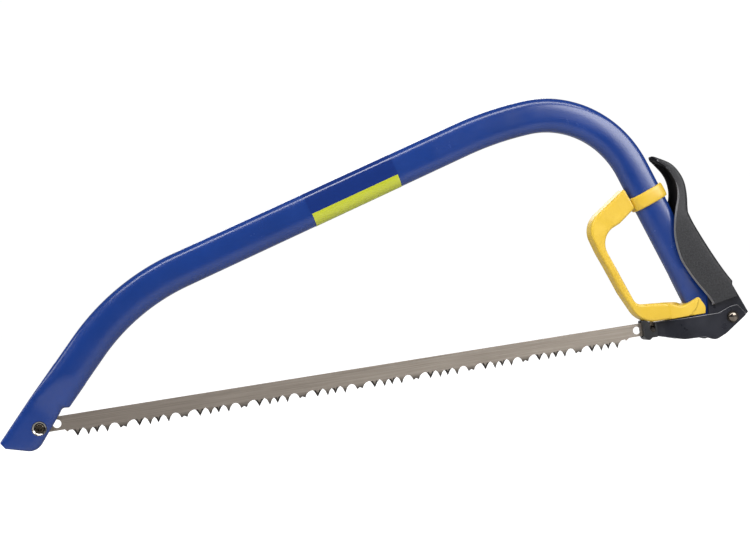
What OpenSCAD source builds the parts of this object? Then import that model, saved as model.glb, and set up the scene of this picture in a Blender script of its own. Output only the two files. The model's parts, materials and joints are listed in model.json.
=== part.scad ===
// Bow saw with a bent oval-tube frame, a quick-release tension lever and a raker-tooth blade.
// Shapes are drawn flat, with x along the blade from nose to handle, y upwards and z through
// the saw's thickness, from the middle of the front blade bolt. place() then stands them up.

/* [Blade] */
// Distance between the front bolt and the rear blade pin
blade_len = 530; // [500:5:560]
// Thickness of the blade
blade_t = 0.8; // [0.6:0.1:1]
// Height of the blade's back above the bolt's centre
blade_back = 7.2; // [6:0.1:7.4]
// Length of one group of teeth
tooth_pitch = 49.35; // [47:0.05:50]
// Number of tooth groups
tooth_groups = 10; // [6:1:10]

/* [Frame tube] */
// Width of the oval tube, in the plane of the saw
tube_w = 30; // [28:0.5:32]
// Thickness of the oval tube, across the saw
tube_t = 17; // [15:0.5:17]
// Wall of the tube
tube_wall = 1.2; // [1:0.1:3]
// Thickness of the flattened nose
nose_t = 9; // [8:0.5:12]
// Thickness of the flattened end at the lever pivot
tail_t = 12; // [11:0.5:12]

/* [Tension lever] */
// Width of the plastic grip, across the saw
grip_w = 24.4; // [23:0.2:26]
// Steel sheet of the lever and the tension link
sheet_t = 2; // [1.5:0.1:2]
// Radius of the lever's pivot pin
pivot_r = 3.5; // [3:0.1:4]
// Radius of the link's rivet
rivet_r = 3; // [2.5:0.1:3.5]

/* [Hand guard] */
// Width of the guard's strap, across the saw
guard_w = 12; // [10:1:17]
// Thickness of the collar around the tube
collar_t = 2.6; // [2:0.1:2.8]

/* [Hidden] */
$fn = 64;

// Middle of the overall length and lowest point, both from the front bolt
mid_x = 295.1;
low_y = -17.05;

// Joint centres, from the front bolt
lever_pivot = [584, -2.6];
link_pivot = [604.5, 1];
pin_at = [blade_len, 0];

// Running clearances
run_gap = 0.05;
side_gap = 0.4;

// Tube centre line: front leg, front bend, top bar, two-stage rear bend, rear leg
nose_start = [-17, -11.5];
nose_dir = 47.9;
front_len = 94.6;
front_bend_r = 182;
front_bend = 30.7;
bar_len = 265;
soft_bend_r = 311;
soft_bend = 11.7;
rear_bend_r = 88;
rear_bend = 74.9;
bar_dir = nose_dir - front_bend;
soft_dir = bar_dir - soft_bend;
leg_dir = soft_dir - rear_bend;

// Point at a distance along a direction, and the end of a bend that turns clockwise
function ahead(p, dir, len) = p + len * [cos(dir), sin(dir)];
function bend_centre(p, dir, r) = p + r * [sin(dir), -cos(dir)];
function bend_end(p, dir, r, turn) =
    bend_centre(p, dir, r) + r * [-sin(dir - turn), cos(dir - turn)];

front_end = ahead(nose_start, nose_dir, front_len);
bar_start = bend_end(front_end, nose_dir, front_bend_r, front_bend);
bar_end = ahead(bar_start, bar_dir, bar_len);
soft_end = bend_end(bar_end, bar_dir, soft_bend_r, soft_bend);
leg_start = bend_end(soft_end, soft_dir, rear_bend_r, rear_bend);

// Stations along the front leg and the rear leg where the tube is flattened
nose_flat_end = 36;
nose_round_from = 62;
tail_round_to = 105;
tail_flat_from = 124;

// Round every corner of an outline of [x, y, radius] points
function unit(v) = v / norm(v);
function corner(a, b, c, r, n) =
    let (u = unit([a.x - b.x, a.y - b.y]), v = unit([c.x - b.x, c.y - b.y]),
         half = acos(max(-1, min(1, u * v))) / 2,
         mid = [b.x, b.y] + unit(u + v) * r / sin(half),
         from = [b.x, b.y] + u * r / tan(half) - mid,
         to = [b.x, b.y] + v * r / tan(half) - mid,
         a0 = atan2(from.y, from.x),
         turn = atan2(from.x * to.y - from.y * to.x, from * to))
    [for (i = [0 : n]) mid + r * [cos(a0 + turn * i / n), sin(a0 + turn * i / n)]];
function rounded(p, n = 8) =
    [for (i = [0 : len(p) - 1])
        let (a = p[(i + len(p) - 1) % len(p)], b = p[i], c = p[(i + 1) % len(p)])
        each (b[2] == undef ? [[b.x, b.y]] : corner(a, b, c, b[2], n))];

// From the flat drawing to the standing saw
module place() {
    translate([-mid_x, 0, -low_y])
        rotate([90, 0, 0])
            children();
}

// A plate of given thickness, centred on the saw's middle plane
module plate(t) {
    translate([0, 0, -t / 2])
        linear_extrude(t)
            children();
}

// A disc or ring-free cylinder across the saw, between two depths
module across(p, r, z0, z1) {
    translate([p.x, p.y, z0])
        cylinder(r = r, h = z1 - z0);
}

// Oval section: x is across the saw, y in its plane
module oval(w, t) {
    square([t, w - t], center = true);
    for (s = [-1, 1])
        translate([0, s * (w - t) / 2])
            circle(d = t);
}

module straight_run(p, dir, from, to, w, t) {
    translate([p.x, p.y, 0])
        rotate([0, 0, dir])
            translate([from, 0, 0])
                rotate([90, 0, 90])
                    linear_extrude(to - from)
                        rotate([0, 0, 90])
                            oval(w, t);
}

module bend_run(p, dir, r, turn, w, t) {
    c = bend_centre(p, dir, r);
    translate([c.x, c.y, 0])
        rotate([0, 0, dir + 90 - turn])
            rotate_extrude(angle = turn, $fn = 180)
                translate([r, 0])
                    rotate([0, 0, 90])
                        oval(w, t);
}

// The bent part of the tube, either its outside or its bore. Neighbouring runs overlap a little
// and differ in size by a hair, so that no two of their faces coincide.
lap = 0.5;
hair = 0.06;
snug = 0.1;

module tube_run(w, t) {
    straight_run(nose_start, nose_dir, nose_round_from - lap, front_len + lap, w + hair, t + hair);
    bend_run(front_end, nose_dir, front_bend_r, front_bend, w, t);
    straight_run(bar_start, bar_dir, -lap, bar_len + lap, w + hair, t + hair);
    bend_run(bar_end, bar_dir, soft_bend_r, soft_bend, w, t);
    bend_run(bend_end(bar_end, bar_dir, soft_bend_r, soft_bend - 0.1), soft_dir + 0.1,
             rear_bend_r, rear_bend + 0.1, w - hair, t - hair);
    straight_run(leg_start, leg_dir, -lap, tail_round_to, w + hair, t + hair);
}

// Work in the front leg's or the rear leg's own axes: x along the tube, y across it
module in_nose() {
    translate([nose_start.x, nose_start.y, 0])
        rotate([0, 0, nose_dir])
            children();
}

module in_leg() {
    translate([leg_start.x, leg_start.y, 0])
        rotate([0, 0, leg_dir])
            children();
}

// A thin slice of a section, for blending one section into another
module slice(at, w, t) {
    thin = 0.02;
    translate([at, 0, 0])
        rotate([90, 0, 90])
            linear_extrude(thin)
                rotate([0, 0, 90])
                    oval(w, t, $fn = 40);
}

module flattened_nose() {
    outline = rounded([[-6, 14.2, 1.2], [-7.4, 7.6, 4.5], [3.2, -14.2, 10.4],
                       [nose_flat_end, -11.5], [nose_flat_end + 3, -11.5],
                       [nose_flat_end + 3, tube_w / 2]]);
    bite = rounded([[35, -11.6], [43, -10.6, 3.5], [46.2, -14.9, 1.2], [47.6, -tube_w / 2],
                    [47.6, -20], [35, -20]]);
    in_nose()
        difference() {
            union() {
                plate(nose_t)
                    polygon(outline);
                hull() {
                    slice(nose_flat_end, tube_w - 2 * hair, nose_t - 2 * hair);
                    slice(nose_round_from, tube_w, tube_t);
                }
            }
            plate(tube_t + 2)
                polygon(bite);
        }
}

module flattened_tail() {
    from = tail_flat_from - 3;
    outline = rounded([[from, -tube_w / 2], [166, -16.3, 3], [169, -8, 6], [161, 11, 10],
                       [140, tube_w / 2, 20], [from, tube_w / 2]]);
    in_leg() {
        plate(tail_t)
            polygon(outline);
        hull() {
            slice(tail_round_to - lap, tube_w, tube_t);
            slice(tail_flat_from, tube_w - 2 * hair, tail_t - 2 * hair);
        }
    }
}

// Slot for the blade, bolt hole and the two shallow recesses around it
slot_t = 1.6;
recess_r = 5.9;
recess_deep = 1.2;
bolt_r = 3;
sleeve_r = 5;

module frame_tube() {
    color("royalblue")
        difference() {
            union() {
                flattened_nose();
                tube_run(tube_w, tube_t);
                flattened_tail();
            }
            tube_run(tube_w - 2 * tube_wall, tube_t - 2 * tube_wall);
            translate([-13, -30, -slot_t / 2])
                cube([60, 40.5, slot_t]);
            across([0, 0], bolt_r, -tube_t, tube_t);
            for (s = [-1, 1])
                across([0, 0], recess_r, s > 0 ? nose_t / 2 - recess_deep : -tube_t,
                       s > 0 ? tube_t : recess_deep - nose_t / 2);
            across(lever_pivot, sleeve_r, -tube_t, tube_t);
        }
}

// Front bolt: domed head on the near side, washer under head and nut
washer_t = 0.7;
seat_z = nose_t / 2 - recess_deep;
head_r = 4.5;
head_h = 2.4;

// A shallow dome standing on a plane, made from a sphere's cap
module dome(p, r, h, z0, up) {
    ball = (r * r + h * h) / (2 * h);
    translate([p.x, p.y, z0])
        intersection() {
            translate([0, 0, up * (h - ball)])
                sphere(r = ball);
            translate([0, 0, up > 0 ? 0 : -h])
                cylinder(r = r, h = h);
        }
}

module front_bolt() {
    color("silver")
        difference() {
            union() {
                across([0, 0], bolt_r, -seat_z - washer_t - 3.6, seat_z + washer_t);
                dome([0, 0], head_r, head_h, seat_z + washer_t, 1);
            }
            translate([0, 0, seat_z + washer_t + 1])
                cylinder(r = 1.6, h = 4, $fn = 6);
        }
}

// A ring across the saw, between two depths
module ring(p, r, hole, z0, z1) {
    color("gray")
        difference() {
            across(p, r, z0, z1);
            across(p, hole, z0 - 1, z1 + 1);
        }
}

module bolt_washer_near() {
    ring([0, 0], 5.6, bolt_r, seat_z, seat_z + washer_t);
}

module bolt_washer_far() {
    ring([0, 0], 5.6, bolt_r, -seat_z - washer_t, -seat_z);
}

module front_nut() {
    nut_h = 3;
    nut_across = 8;
    color("silver")
        translate([0, 0, -seat_z - washer_t - nut_h])
            difference() {
                cylinder(d = nut_across / cos(30), h = nut_h, $fn = 6);
                translate([0, 0, -1])
                    cylinder(r = bolt_r, h = nut_h + 2);
            }
}

module pivot_sleeve() {
    color("gray")
        difference() {
            across(lever_pivot, sleeve_r, -tail_t / 2, tail_t / 2);
            across(lever_pivot, pivot_r + run_gap, -tail_t, tail_t);
        }
}

// Hand guard: a strap loop, a closed collar round the leg and a clip on the flattened end
collar_from = 22.3;
collar_to = 34.8;
clip_t = 3;

module guard_loop() {
    outer = rounded([[540, 140.7], [480.3, 99.5, 19.5], [519.4, 7.1, 22], [572, 7.1],
                     [578, 21]], 12);
    inner = rounded([[560, 130.1], [489.7, 88.3, 18], [514.6, 25.6, 3], [526, 23.2, 20],
                     [590, 20.6]], 12);
    plate(guard_w)
        difference() {
            polygon(outer);
            polygon(inner);
        }
}

module guard_clip() {
    outline = rounded([[548, 7.1], [548, 21.2], [557.5, 17.6, 6], [563, 18, 6], [576.6, 23.3, 2.4],
                       [582, 13, 6], [580.6, 7.1, 1]]);
    plate(tail_t + 2 * clip_t)
        polygon(outline);
}

module hand_guard() {
    color("gold")
        difference() {
            union() {
                guard_loop();
                guard_clip();
                straight_run(leg_start, leg_dir, collar_from, collar_to,
                             tube_w + 2 * collar_t, tube_t + 2 * collar_t);
            }
            straight_run(leg_start, leg_dir, -20, tail_round_to, tube_w + snug, tube_t + snug);
            in_leg() {
                plate(tail_t + snug)
                    polygon([[tail_round_to, -tube_w / 2 - snug],
                             [tail_flat_from - 3, -tube_w / 2 - snug], [190, -17.1],
                             [190, 2 * tube_w], [tail_round_to, 2 * tube_w]]);
                translate([tail_round_to - lap, -(tube_w + snug) / 2, -tail_t / 2 - 1])
                    cube([tail_flat_from - tail_round_to + lap, tube_w + snug, tail_t + 2]);
            }
        }
}

// Printed film around the top bar
label_from = 118.4;
label_len = 82;
film_t = 0.25;

module frame_label() {
    color("navy")
        difference() {
            straight_run(bar_start, bar_dir, label_from, label_from + label_len,
                         tube_w + 2 * film_t, tube_t + 2 * film_t);
            straight_run(bar_start, bar_dir, label_from - 1, label_from + label_len + 1,
                         tube_w + snug, tube_t + snug);
        }
}

// Blade: groups of four cutting teeth and a notched raker, with a spare hole near each end
tooth_first = 28.4;
blade_base = -4.2;
blade_over = 9;
spare_in = 13.6;
spare_up = 1.3;
spare_r = 3.4;
cutters = [[-3.4, -5.2], [-1.8, -6], [0, -11.2], [2.6, -6.4], [4.9, -4.9],
           [6.9, -5.8], [8.6, -11.6], [10.9, -6.8], [12.5, -5.8],
           [13.9, -6.6], [15.3, -11], [17.8, -6], [19.9, -5.1],
           [21.9, -6.2], [23.6, -11.8], [25.9, -7]];
raker = [[27.6, -5.6], [29.6, -5.1], [31.8, -5.8], [33, -7.4], [34.2, -10.2], [36.5, -8.8],
         [38.9, -10.2], [40.2, -7.5], [42, -6], [44.4, -5.1]];

function shifted(p, dx) = [for (q = p) [q.x + dx, q.y]];

module blade_outline() {
    last = tooth_first + (tooth_groups - 1) * tooth_pitch;
    teeth = [for (g = [0 : tooth_groups - 1])
                each shifted(g < tooth_groups - 1 ? concat(cutters, raker) : cutters,
                             tooth_first + g * tooth_pitch)];
    back = rounded([[blade_len + 6.5, blade_base, 5], [blade_len + 6.5, blade_back, 5.5],
                    [-blade_over, blade_back, 6], [-blade_over, blade_base, 5]]);
    polygon(concat(back, [[19, blade_base], [20.8, -6.3], [22.6, -5.2]], teeth,
                   [[last + 28.5, -5.2], [last + 32.2, -5], [last + 32.8, -6.3],
                    [last + 36, blade_base]]));
}

module saw_blade() {
    color("dimgray")
        difference() {
            plate(blade_t)
                blade_outline();
            across([0, 0], bolt_r + run_gap, -2, 2);
            across(pin_at, pin_r, -2, 2);
            for (x = [spare_in, blade_len - spare_in])
                across([x, spare_up], spare_r, -2, 2);
        }
}

// Cross pin through the blade's rear hole, with a thin collar on each face of the blade
pin_r = 2.2;
hook_half = 1.6;
nose_sheet = 1.8;
clip_half = hook_half + nose_sheet + 1.8;

module blade_pin() {
    color("silver")
        across(pin_at, pin_r, -clip_half, clip_half);
}

module pin_collar_near() {
    ring(pin_at, 3.8, pin_r, blade_t / 2, hook_half - 0.3);
}

module pin_collar_far() {
    ring(pin_at, 3.8, pin_r, 0.3 - hook_half, -blade_t / 2);
}

// Lever: pressed steel channel inside a plastic grip
core_half = tail_t / 2 + side_gap + sheet_t;
core_rear = [[621.3, 3], [609.6, 29.8], [606.8, 33.4], [595.2, 53.4], [585.4, 73]];
core_lobe_r = 9;

module core_outline() {
    polygon([core_rear[0], core_rear[1], core_rear[2], core_rear[3], core_rear[4], [580.6, 71],
             [588.4, 48], [595.2, 29], [585.4, 23], [583, 6], [575, -2], [578, -9.5],
             [588, -11.5], [603, -9], [612, -4]]);
    translate(lever_pivot)
        circle(r = core_lobe_r);
}

module lever_core() {
    web = [for (p = core_rear) p - sheet_t * [0.93, 0.4]];
    color("dimgray")
        difference() {
            plate(2 * core_half)
                core_outline();
            plate(2 * (core_half - sheet_t))
                polygon(concat([[632, -30]], web, [[560, 90], [540, -30]]));
            across(lever_pivot, pivot_r, -20, 20);
            across(link_pivot, rivet_r + run_gap, -20, 20);
        }
}

module lever_grip() {
    outline = rounded([[550.6, 153.4, 1.6], [579.6, 139.9, 24], [577.2, 98.4, 6], [591.3, 67.6, 40],
                       [610.6, 32.6, 1.2], [608.6, 29.6], [613.2, 19, 1], [598, 15.6, 20],
                       [585.8, 13.8, 1.4], [556.8, 66.3, 42], [571.6, 128.2, 24],
                       [550.4, 149.9, 1.2]], 10);
    trough = rounded([[530, 151], [555.4, 149], [575.9, 137, 18], [574, 99, 6], [580, 84],
                      [581.5, 66], [596, 27.6], [600, 8], [530, 8]], 10);
    color("darkslategray")
        difference() {
            plate(grip_w)
                polygon(outline);
            plate(tube_t + 1.6)
                polygon(trough);
            plate(2 * core_half)
                core_outline();
        }
}

module lever_pivot_pin() {
    color("silver")
        across(lever_pivot, pivot_r, -core_half, core_half);
}

// Tension link: two cheeks, close together at the hooks and apart at the lever
link_inner = core_half + side_gap;
link_half = link_inner + nose_sheet;
flare_from = 544;
flare_to = 560;
notch_w = 5.6;

module link_outline() {
    polygon(rounded([[520, -6, 2.5], [520, 5.6, 2.5], [534, 6.1], [592, 6.3, 10],
                     [603.5, 10.4, 5], [610.6, 11.2, 2], [618.6, 1.2, 2], [596.5, -13, 8],
                     [585.5, -17.4, 9], [575.5, -13.1, 6], [556, -12.4, 14], [541.5, -8.3, 14],
                     [533, -6, 6]]));
}

// Plan view of the cheeks, from the middle plane outwards
module link_plan(inner) {
    near = inner ? 0 : hook_half;
    wide = inner ? 0 : link_inner;
    for (s = [0, 1])
        mirror([0, s])
            polygon([[515, near], [flare_from, near], [flare_to, wide], [625, wide],
                     [625, link_half], [flare_to - 0.8, link_half],
                     [flare_from - 0.8, hook_half + nose_sheet], [515, hook_half + nose_sheet]]);
}

module standing_plan(inner) {
    translate([0, 20, 0])
        rotate([90, 0, 0])
            linear_extrude(50)
                link_plan(inner);
}

// Open-topped hook for the blade pin
module hook_notch(half) {
    seat = pin_at + [-0.05, 0.2];
    across(seat, notch_w / 2, -half, half);
    translate([seat.x - notch_w / 2, seat.y, -half])
        cube([notch_w, 20, 2 * half]);
}

module tension_link() {
    web_t = 1.8;
    color("black")
        difference() {
            union() {
                intersection() {
                    plate(2 * link_half)
                        link_outline();
                    standing_plan(false);
                }
                intersection() {
                    plate(2 * link_half)
                        difference() {
                            link_outline();
                            translate([0, web_t])
                                link_outline();
                        }
                    standing_plan(true);
                    translate([536, -20, -20])
                        cube([20, 16, 40]);
                }
            }
            hook_notch(20);
            across(link_pivot, rivet_r, -20, 20);
        }
}

module link_nose_clip() {
    outline = rounded([[518, -8.4, 5], [518, 9.9, 2.2], [521.5, 9.9, 1], [527, 6.6, 4],
                       [534.5, 6.1, 0.6], [533.4, -6.9, 1], [528.5, -6.7, 1], [526, -8.4, 1]]);
    color("black")
        difference() {
            plate(2 * clip_half)
                polygon(outline);
            translate([520, -6, -hook_half - nose_sheet])
                cube([20, 30, 2 * (hook_half + nose_sheet)]);
            translate([510, -5.2, -1])
                cube([12, 30, 2]);
            hook_notch(20);
        }
}

// Rivet that joins the link to the lever, with a washer under each domed end
module link_rivet() {
    cap_h = 2;
    cap_r = 4.3;
    color("silver") {
        across(link_pivot, rivet_r, -link_half - washer_t, link_half + washer_t);
        dome(link_pivot, cap_r, cap_h, link_half + washer_t, 1);
        dome(link_pivot, cap_r, cap_h, -link_half - washer_t, -1);
    }
}

module rivet_washer_near() {
    ring(link_pivot, 5.5, rivet_r, link_half, link_half + washer_t);
}

module rivet_washer_far() {
    ring(link_pivot, 5.5, rivet_r, -link_half - washer_t, -link_half);
}

place() frame_tube();
place() front_bolt();
place() bolt_washer_near();
place() bolt_washer_far();
place() front_nut();
place() pivot_sleeve();
place() hand_guard();
place() frame_label();
place() saw_blade();
place() blade_pin();
place() pin_collar_near();
place() pin_collar_far();
place() lever_core();
place() lever_grip();
place() lever_pivot_pin();
place() tension_link();
place() link_nose_clip();
place() link_rivet();
place() rivet_washer_near();
place() rivet_washer_far();
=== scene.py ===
# Looks of the bow saw: smooth shapes, procedural materials, soft studio light.
import json
import math

import bmesh
import bpy
import numpy as np
from mathutils import Matrix, Vector


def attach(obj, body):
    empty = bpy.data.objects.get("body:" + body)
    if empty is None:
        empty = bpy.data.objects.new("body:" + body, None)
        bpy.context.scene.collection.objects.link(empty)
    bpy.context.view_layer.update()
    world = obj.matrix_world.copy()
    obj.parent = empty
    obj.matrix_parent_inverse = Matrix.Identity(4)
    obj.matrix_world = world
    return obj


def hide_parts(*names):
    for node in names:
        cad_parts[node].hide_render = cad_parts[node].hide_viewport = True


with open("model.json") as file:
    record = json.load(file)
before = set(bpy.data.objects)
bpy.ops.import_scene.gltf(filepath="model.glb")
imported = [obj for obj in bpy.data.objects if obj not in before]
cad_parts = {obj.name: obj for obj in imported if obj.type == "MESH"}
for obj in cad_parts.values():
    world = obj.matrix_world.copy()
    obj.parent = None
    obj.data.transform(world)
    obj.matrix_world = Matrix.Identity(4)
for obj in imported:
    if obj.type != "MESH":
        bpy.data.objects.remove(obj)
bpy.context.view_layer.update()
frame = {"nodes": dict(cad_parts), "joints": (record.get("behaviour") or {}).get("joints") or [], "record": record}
JOINTS = {j["name"]: Vector(j["pos_m"]) for j in frame["joints"]}
BOLT = JOINTS["blade_pivot"]
MM = 0.001
WELD = 2e-6  # points closer than this, in metres, are one point

# ---------------------------------------------------------------- drawing helpers
# Shapes are drawn in millimetres from the front bolt: x along the blade, z up and d towards the
# camera.


def at(x, z, d=0.0):
    return Vector((BOLT.x + x * MM, BOLT.y - d * MM, BOLT.z + z * MM))


def drawn(point):
    """The x and z, in drawing millimetres, of a point in the frame."""
    return ((point.x - BOLT.x) / MM, (point.z - BOLT.z) / MM)


LEVER_AT = drawn(JOINTS["lever_pivot"])
RIVET_AT = drawn(JOINTS["link_pivot"])


def smooth(lo, hi, v):
    t = min(max((v - lo) / (hi - lo), 0.0), 1.0)
    return t * t * (3 - 2 * t)


def mix(a, b, t):
    return a + (b - a) * t


def rounded(points, steps=8):
    """Rounds each corner of a closed outline of (x, z, radius) points."""
    out = []
    for i, p in enumerate(points):
        b = Vector(p[:2])
        r = p[2] if len(p) > 2 else 0
        if not r:
            out.append(tuple(b))
            continue
        u = (Vector(points[i - 1][:2]) - b).normalized()
        v = (Vector(points[(i + 1) % len(points)][:2]) - b).normalized()
        half = math.acos(max(-1, min(1, u.dot(v)))) / 2
        mid = b + (u + v).normalized() * (r / math.sin(half))
        start = b + u * (r / math.tan(half)) - mid
        end = b + v * (r / math.tan(half)) - mid
        a0 = math.atan2(start.y, start.x)
        turn = math.atan2(start.x * end.y - start.y * end.x, start.dot(end))
        for k in range(steps + 1):
            a = a0 + turn * k / steps
            out.append((mid.x + r * math.cos(a), mid.y + r * math.sin(a)))
    return out


def new_object(name, verts, faces):
    mesh = bpy.data.meshes.new(name)
    mesh.from_pydata([tuple(v) for v in verts], [], faces)
    mesh.update()
    obj = bpy.data.objects.new(name, mesh)
    bpy.context.scene.collection.objects.link(obj)
    tidy(obj)
    return obj


def tidy(obj):
    """Welds points that coincide and turns every face outwards."""
    bm = bmesh.new()
    bm.from_mesh(obj.data)
    bmesh.ops.remove_doubles(bm, verts=bm.verts, dist=WELD)
    bmesh.ops.recalc_face_normals(bm, faces=bm.faces)
    bm.to_mesh(obj.data)
    bm.free()


def bake(obj):
    """Applies the object's modifiers to its mesh."""
    graph = bpy.context.evaluated_depsgraph_get()
    mesh = bpy.data.meshes.new_from_object(obj.evaluated_get(graph))
    obj.modifiers.clear()
    old = obj.data
    obj.data = mesh
    bpy.data.meshes.remove(old)
    return obj


def drop(*objs):
    for o in objs:
        bpy.data.objects.remove(o)


def modify(obj, kind, **settings):
    m = obj.modifiers.new(kind.lower(), kind)
    for key, value in settings.items():
        setattr(m, key, value)


def combine(obj, operation, others, **settings):
    for other in others:
        modify(obj, "BOOLEAN", operation=operation, solver="EXACT", object=other, **settings)
    bake(obj)
    drop(*others)
    return obj


def cut(obj, *cutters):
    return combine(obj, "DIFFERENCE", cutters)


def join(obj, *others):
    return combine(obj, "UNION", others)


def merge(obj, *others):
    """Puts several closed shells into one mesh."""
    bm = bmesh.new()
    for o in (obj, *others):
        bm.from_mesh(o.data)
    bm.to_mesh(obj.data)
    bm.free()
    drop(*others)
    return obj


def soften(obj, width, angle=35, edge_slot=-1):
    modify(obj, "BEVEL", width=width * MM, segments=2, limit_method="ANGLE", material=edge_slot,
           angle_limit=math.radians(angle), miter_outer="MITER_ARC")
    return bake(obj)


def highlight_edges(obj, width, angle=35):
    """Softens the edges and gives them a slot of their own for a paler finish, a painted highlight along them."""
    obj.data.materials.append(BLACK)
    obj.data.materials.append(EDGE_HIGHLIGHT)
    return soften(obj, width, angle, edge_slot=1)


def shade(obj, angle):
    """Smooth shading, with an edge kept sharp where its faces turn by more than the angle."""
    mesh = obj.data
    for p in mesh.polygons:
        p.use_smooth = True
    bm = bmesh.new()
    bm.from_mesh(mesh)
    limit = math.radians(angle)
    for e in bm.edges:
        e.smooth = len(e.link_faces) == 2 and e.calc_face_angle(0) < limit
    bm.to_mesh(mesh)
    bm.free()
    return obj


def flat_sides(obj):
    """Keeps flat faces flat in the shading, right up to their bevelled edges."""
    modify(obj, "WEIGHTED_NORMAL", keep_sharp=True)
    return bake(obj)


def loft(name, rings):
    """Joins closed rings of points into a closed skin."""
    n = len(rings[0])
    verts = [p for ring in rings for p in ring]
    faces = []
    for i in range(len(rings) - 1):
        for k in range(n):
            a, b = i * n + k, i * n + (k + 1) % n
            faces.append((a, b, b + n, a + n))
    faces.append(tuple(range(n)))
    faces.append(tuple(reversed(range((len(rings) - 1) * n, len(rings) * n))))
    return new_object(name, verts, faces)


def prism(name, outline, d0, d1):
    """An outline in the plane of the saw, given thickness."""
    n = len(outline)
    verts = [at(x, z, d0) for x, z in outline] + [at(x, z, d1) for x, z in outline]
    faces = [tuple(range(n)), tuple(reversed(range(n, 2 * n)))]
    faces += [(k, (k + 1) % n, (k + 1) % n + n, k + n) for k in range(n)]
    return new_object(name, verts, faces)


def disc(centre, r, n=48):
    return [(centre[0] + r * math.cos(a), centre[1] + r * math.sin(a))
            for a in (2 * math.pi * k / n for k in range(n))]


def lathe(name, centre, profile, n=64):
    """Turns a profile of (radius, depth) points about an axis across the saw."""
    least = 0.001  # a ring on the axis itself would have no size
    return loft(name, [[at(x, z, d) for x, z in disc(centre, max(r, least), n)]
                       for r, d in profile])


def finish_piece(obj, finish, body, slot, *nodes):
    """Gives a piece its material and the body it rides on, and hides the nodes it stands for. The slot is not
    used.
    """
    if obj.data.materials:
        obj.data.materials[0] = finish
    else:
        obj.data.materials.append(finish)
    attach(obj, body)
    if nodes:
        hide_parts(*nodes)
    return obj


# ---------------------------------------------------------------- materials
LOW, HIGH = 0.3, 0.7  # nearly all of a noise texture's values lie between these
COAT_ROUGHNESS = 0.17


def material(name, colour, roughness, metallic=0.0, coat=0.0, specular=0.5):
    m = bpy.data.materials.new(name)
    m.use_nodes = True
    nodes, links = m.node_tree.nodes, m.node_tree.links
    shader = nodes["Principled BSDF"]
    shader.inputs["Base Color"].default_value = (*colour, 1)
    shader.inputs["Roughness"].default_value = roughness
    shader.inputs["Metallic"].default_value = metallic
    shader.inputs["Coat Weight"].default_value = coat
    shader.inputs["Coat Roughness"].default_value = COAT_ROUGHNESS
    shader.inputs["Specular IOR Level"].default_value = specular
    coords = nodes.new("ShaderNodeTexCoord")
    return m, nodes, links, shader, coords


def noise(nodes, links, vector, scale, detail, rough=0.55, stretch=None):
    if stretch:
        mapping = nodes.new("ShaderNodeMapping")
        mapping.inputs["Scale"].default_value = stretch
        links.new(vector, mapping.inputs["Vector"])
        vector = mapping.outputs["Vector"]
    n = nodes.new("ShaderNodeTexNoise")
    n.inputs["Scale"].default_value = scale
    n.inputs["Detail"].default_value = detail
    n.inputs["Roughness"].default_value = rough
    links.new(vector, n.inputs["Vector"])
    return n.outputs["Fac"]


def ramp(nodes, links, value, stops):
    r = nodes.new("ShaderNodeValToRGB")
    while len(r.color_ramp.elements) < len(stops):
        r.color_ramp.elements.new(0.5)
    for e, (pos, colour) in zip(r.color_ramp.elements, stops):
        e.position = pos
        e.color = (*colour, 1)
    links.new(value, r.inputs["Fac"])
    return r.outputs["Color"]


def two_tone(nodes, links, value, dark, light):
    return ramp(nodes, links, value, [(LOW, dark), (HIGH, light)])


def remap(nodes, links, value, start, end, lo=0.0, hi=1.0):
    m = nodes.new("ShaderNodeMapRange")
    for key, number in (("From Min", start), ("From Max", end), ("To Min", lo), ("To Max", hi)):
        m.inputs[key].default_value = number
    links.new(value, m.inputs["Value"])
    return m.outputs["Result"]


def spread(nodes, links, value, lo, hi):
    return remap(nodes, links, value, LOW, HIGH, lo, hi)


def colour_mix(nodes, links, factor, a, b):
    """Mixes two colours by a factor. The first may be a plain colour."""
    m = nodes.new("ShaderNodeMix")
    m.data_type = "RGBA"
    links.new(factor, m.inputs["Factor"])
    if isinstance(a, tuple):
        m.inputs["A"].default_value = (*a, 1)
    else:
        links.new(a, m.inputs["A"])
    links.new(b, m.inputs["B"])
    return m.outputs["Result"]


def bump(nodes, links, shader, height, strength, distance):
    b = nodes.new("ShaderNodeBump")
    b.inputs["Strength"].default_value = strength
    b.inputs["Distance"].default_value = distance
    links.new(height, b.inputs["Height"])
    links.new(b.outputs["Normal"], shader.inputs["Normal"])


def paint(name, dark, light, roughness, coat, peel_depth):
    """Clear-coated paint or print, cloudy in colour, with a faint orange peel."""
    m, nodes, links, shader, coords = material(name, light, roughness, coat=coat)
    where = coords.outputs["Object"]
    clouds = noise(nodes, links, where, 14, 3)
    links.new(two_tone(nodes, links, clouds, dark, light), shader.inputs["Base Color"])
    peel = noise(nodes, links, where, 700, 2)
    links.new(spread(nodes, links, noise(nodes, links, where, 60, 3), roughness - 0.04,
                     roughness + 0.06), shader.inputs["Roughness"])
    bump(nodes, links, shader, peel, peel_depth, 0.0002)
    return m


def moulded(name, dark, light, roughness, grain, depth, specular=0.5, patch=30):
    """Moulded plastic or powder coat: a grain in the surface and patches in the colour."""
    m, nodes, links, shader, coords = material(name, light, roughness, specular=specular)
    where = coords.outputs["Object"]
    patches = noise(nodes, links, where, patch, 4)
    links.new(two_tone(nodes, links, patches, dark, light), shader.inputs["Base Color"])
    links.new(spread(nodes, links, noise(nodes, links, where, 120, 3), roughness - 0.05,
                     roughness + 0.07), shader.inputs["Roughness"])
    bump(nodes, links, shader, noise(nodes, links, where, grain, 3, 0.6), depth, 0.0003)
    return m


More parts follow.
